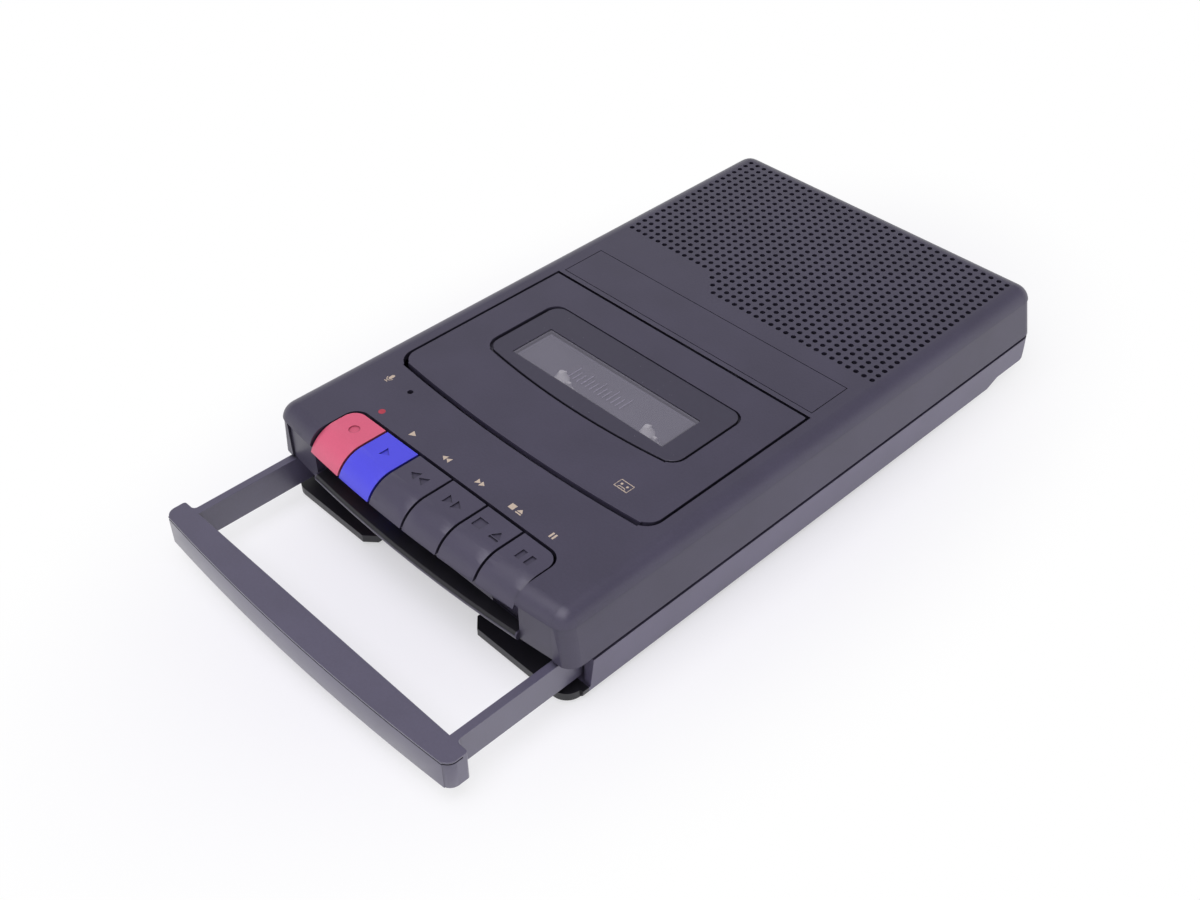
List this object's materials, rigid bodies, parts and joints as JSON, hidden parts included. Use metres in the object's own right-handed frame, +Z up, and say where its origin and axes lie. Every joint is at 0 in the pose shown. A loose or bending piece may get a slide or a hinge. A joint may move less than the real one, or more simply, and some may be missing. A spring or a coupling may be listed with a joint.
{
  "type": "portable cassette player",
  "caption": "Flat portable cassette recorder with a row of piano keys, a hinged cassette lid with a window, a perforated speaker grille and a pull-out carrying handle.",
  "frame": {"origin": "on the ground under the middle of the overall footprint, handle pulled out", "axes": "+X to the right seen from the keys, +Y from the keys towards the speaker end, +Z up"},
  "size_m": [0.147, 0.2939, 0.04],
  "materials": {
    "charcoal_plastic": "fine spark texture",
    "handle_plastic": "fine spark texture",
    "key_plastic": "satin",
    "red_plastic": "satin",
    "blue_plastic": "satin",
    "bezel_plastic": "gloss",
    "smoked_pane": "clear",
    "black_plastic": "satin",
    "black_rubber": "matte",
    "steel": "brushed",
    "brass": "turned",
    "white_plastic": "satin",
    "ferrite": "ground",
    "paper_cone": "matte",
    "board": "laminate",
    "blue_sleeve": "satin"
  },
  "bodies": {
    "housing": {"top_case": "charcoal_plastic", "speaker_grille": "charcoal_plastic", "name_strip": "charcoal_plastic", "bottom_case": "charcoal_plastic", "rubber_feet": "black_rubber", "case_screws": "steel", "key_shaft": "steel", "key_springs": "steel", "key_brackets": "steel", "mechanism_deck": "steel", "deck_screws": "steel", "cassette_well": "black_plastic", "reel_studs": "steel", "capstan_bearing": "brass", "flywheel_bracket": "steel", "motor": "steel", "drive_belt": "black_rubber", "speaker_frame": "steel", "speaker_magnet": "ferrite", "speaker_cone": "paper_cone", "circuit_board": "board", "capacitors": "blue_sleeve", "amplifier_chip": "black_plastic", "record_switch": "steel", "microphone": "steel", "volume_control": "board", "earphone_jack": "black_plastic", "microphone_jack": "black_plastic", "dc_jack": "black_plastic", "battery_contacts": "steel"},
    "handle": {"handle": "handle_plastic"},
    "lid": {"cassette_lid": "charcoal_plastic", "window_bezel": "bezel_plastic", "window_pane": "smoked_pane", "lid_guides": "black_plastic"},
    "record_key": {"record_key": "red_plastic"},
    "play_key": {"play_key": "blue_plastic"},
    "rewind_key": {"rewind_key": "key_plastic"},
    "forward_key": {"forward_key": "key_plastic"},
    "stop_key": {"stop_key": "key_plastic"},
    "pause_key": {"pause_key": "key_plastic"},
    "supply_reel": {"supply_spindle": "white_plastic"},
    "takeup_reel": {"takeup_spindle": "white_plastic"},
    "flywheel": {"flywheel": "brass", "capstan": "steel"},
    "carriage": {"head_carriage": "steel", "record_play_head": "steel", "erase_head": "steel"},
    "roller": {"pinch_roller": "black_rubber"},
    "pulley": {"motor_pulley": "brass"},
    "dial": {"volume_dial": "black_plastic"},
    "cover": {"battery_cover": "charcoal_plastic"}
  },
  "joints": [
    {"name": "handle_slide", "type": "slide", "parent": "housing", "child": "handle", "axis": [0, 1, 0], "range_m": [0, 0.0484]},
    {"name": "lid_hinge", "type": "hinge", "parent": "housing", "child": "lid", "pos_m": [0, 0.02145, 0.0365], "axis": [-1, 0, 0], "range_deg": [0, 45]},
    {"name": "record_key_hinge", "type": "hinge", "parent": "housing", "child": "record_key", "pos_m": [-0.0413, -0.06405, 0.0255], "axis": [1, 0, 0], "range_deg": [0, 9], "stiffness_Nm_per_rad": 0.3, "springref_deg": -8.59},
    {"name": "play_key_hinge", "type": "hinge", "parent": "housing", "child": "play_key", "pos_m": [-0.0243, -0.06405, 0.0255], "axis": [1, 0, 0], "range_deg": [0, 9], "stiffness_Nm_per_rad": 0.3, "springref_deg": -8.59},
    {"name": "rewind_key_hinge", "type": "hinge", "parent": "housing", "child": "rewind_key", "pos_m": [-0.0073, -0.06405, 0.0255], "axis": [1, 0, 0], "range_deg": [0, 9], "stiffness_Nm_per_rad": 0.3, "springref_deg": -8.59},
    {"name": "forward_key_hinge", "type": "hinge", "parent": "housing", "child": "forward_key", "pos_m": [0.0097, -0.06405, 0.0255], "axis": [1, 0, 0], "range_deg": [0, 9], "stiffness_Nm_per_rad": 0.3, "springref_deg": -8.59},
    {"name": "stop_key_hinge", "type": "hinge", "parent": "housing", "child": "stop_key", "pos_m": [0.0267, -0.06405, 0.0255], "axis": [1, 0, 0], "range_deg": [0, 9], "stiffness_Nm_per_rad": 0.3, "springref_deg": -8.59},
    {"name": "pause_key_hinge", "type": "hinge", "parent": "housing", "child": "pause_key", "pos_m": [0.0437, -0.06405, 0.0255], "axis": [1, 0, 0], "range_deg": [0, 9], "stiffness_Nm_per_rad": 0.3, "springref_deg": -8.59},
    {"name": "supply_spin", "type": "hinge", "parent": "housing", "child": "supply_reel", "pos_m": [-0.02125, -0.01165, 0.024], "axis": [0, 0, 1], "continuous": true},
    {"name": "takeup_spin", "type": "hinge", "parent": "housing", "child": "takeup_reel", "pos_m": [0.02125, -0.01165, 0.024], "axis": [0, 0, 1], "continuous": true},
    {"name": "flywheel_spin", "type": "hinge", "parent": "housing", "child": "flywheel", "pos_m": [0.029, -0.03805, 0.012], "axis": [0, 0, 1], "continuous": true},
    {"name": "pulley_spin", "type": "hinge", "parent": "housing", "child": "pulley", "pos_m": [0.004, 0.03975, 0.011], "axis": [0, 0, 1], "continuous": true},
    {"name": "carriage_slide", "type": "slide", "parent": "housing", "child": "carriage", "axis": [0, 1, 0], "range_m": [0, 0.004]},
    {"name": "roller_spin", "type": "hinge", "parent": "carriage", "child": "roller", "pos_m": [0.029, -0.0491, 0.029], "axis": [0, 0, 1], "continuous": true},
    {"name": "dial_turn", "type": "hinge", "parent": "housing", "child": "dial", "pos_m": [-0.0635, 0.00305, 0.0115], "axis": [0, 0, 1], "range_deg": [-140, 140]},
    {"name": "cover_slide", "type": "slide", "parent": "housing", "child": "cover", "axis": [0, 1, 0], "range_m": [0, 0.012]}
  ],
  "couplings": [
    {"joint": "play_key_hinge", "follows": "carriage_slide", "rad_per_m": 39.269},
    {"joint": "pulley_spin", "follows": "flywheel_spin", "ratio": 6.4054}
  ]
}
